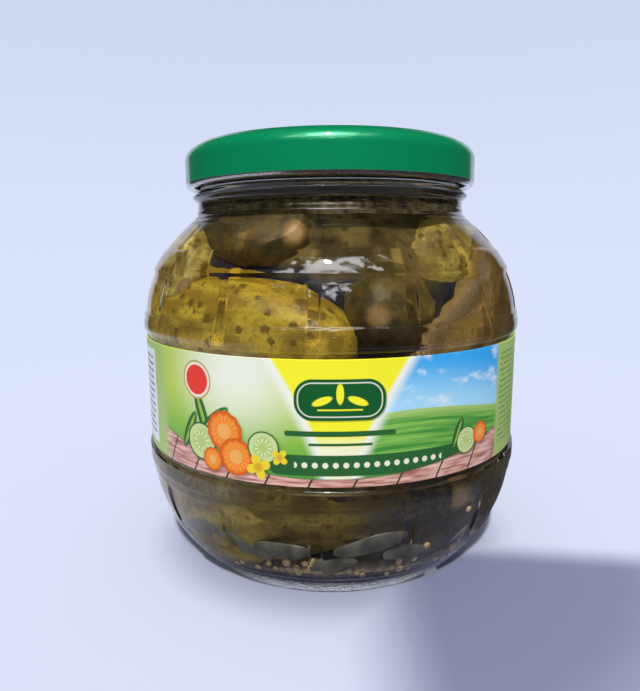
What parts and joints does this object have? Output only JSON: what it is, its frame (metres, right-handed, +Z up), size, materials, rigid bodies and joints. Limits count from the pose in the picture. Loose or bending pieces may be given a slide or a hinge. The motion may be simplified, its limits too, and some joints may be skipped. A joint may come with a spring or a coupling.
{
  "type": "jar of pickles",
  "caption": "Round barrel-shaped glass jar packed with whole pickles, shut with a green twist-off metal lid and banded by a wrap-round paper label.",
  "frame": {"origin": "middle of the base, on the surface the jar stands on", "axes": "+Z up the jar's axis to the lid, -Y towards the front of the label, +X to the right seen from the front"},
  "size_m": [0.1218, 0.1218, 0.1278],
  "materials": {
    "clear_glass": "clear blown glass",
    "printed_paper": "varnished printed paper",
    "green_lacquer": "gloss lacquer on tinplate",
    "pickle_skin": "wet pickle skin",
    "brine": "clear yellowish brine",
    "onion": "translucent pickled onion",
    "seed": "mustard seed",
    "herb": "pickled dill",
    "lid_lining": "pale lining lacquer and bare curl edge"
  },
  "bodies": {
    "root": {"jar_glass": "clear_glass", "label": "printed_paper", "lid": "green_lacquer", "pickles": "pickle_skin"}
  },
  "joints": []
}
